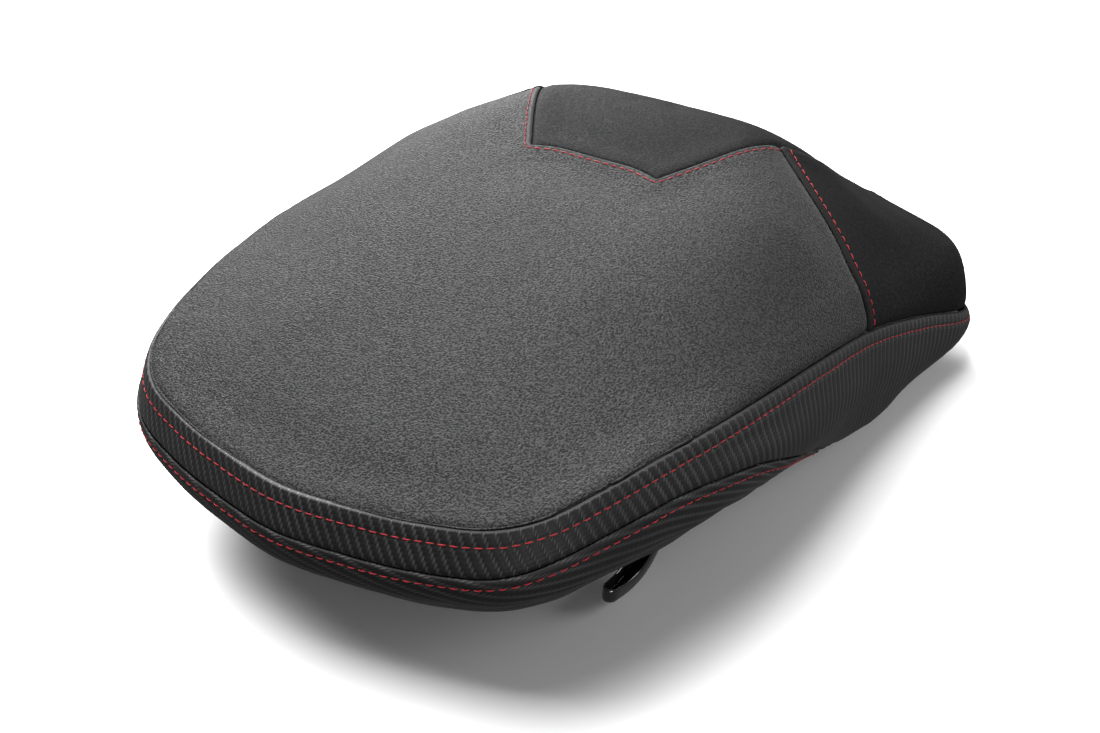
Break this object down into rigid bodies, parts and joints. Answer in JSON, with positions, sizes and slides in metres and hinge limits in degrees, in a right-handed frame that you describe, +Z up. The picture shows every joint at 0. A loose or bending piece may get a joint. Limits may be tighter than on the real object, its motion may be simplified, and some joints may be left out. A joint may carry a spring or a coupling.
{
  "type": "motorcycle seat",
  "caption": "Clip-on motorcycle seat with a raised nose, stitched grip-vinyl cover over a foam core, and a moulded base pan with hooks, rubber bumpers and a latch striker loop.",
  "frame": {"origin": "middle of the footprint, on the surface the seat stands on", "axes": "+X towards the seat's right side, +Y towards the raised nose, +Z up, square to the surface the bumpers stand on"},
  "size_m": [0.3346, 0.4184, 0.1466],
  "materials": {
    "suede_vinyl": "dark grey suede-like grip vinyl, fine pebble grain, matt",
    "smooth_vinyl": "black fine-grained matt vinyl",
    "carbon_vinyl": "black embossed carbon-look vinyl, satin",
    "foam": "moulded open-cell polyurethane foam",
    "pan_plastic": "black injection-moulded polypropylene, lightly textured",
    "hook_plastic": "black glossy glass-filled nylon",
    "rubber": "black moulded rubber, matt",
    "zinc_steel": "zinc-plated steel",
    "black_screw": "black-coated steel screw"
  },
  "bodies": {
    "root": {"cover_top_panel": "suede_vinyl", "cover_nose_panel": "smooth_vinyl", "cover_wing_left": "smooth_vinyl", "cover_wing_right": "smooth_vinyl", "cover_side_band": "carbon_vinyl", "cover_lower_panel": "carbon_vinyl", "foam_core": "foam", "base_pan": "pan_plastic", "bumper_front_left": "rubber", "bumper_front_right": "rubber", "bumper_rear_left": "rubber", "bumper_rear_right": "rubber", "hook_left": "hook_plastic", "hook_right": "hook_plastic", "hook_screw_left_front": "black_screw", "hook_screw_left_rear": "black_screw", "hook_screw_right_front": "black_screw", "hook_screw_right_rear": "black_screw", "striker_plate": "zinc_steel", "striker_loop": "zinc_steel", "striker_nut_left": "zinc_steel", "striker_nut_right": "zinc_steel", "striker_screw_left": "black_screw", "striker_screw_right": "black_screw"}
  },
  "joints": []
}
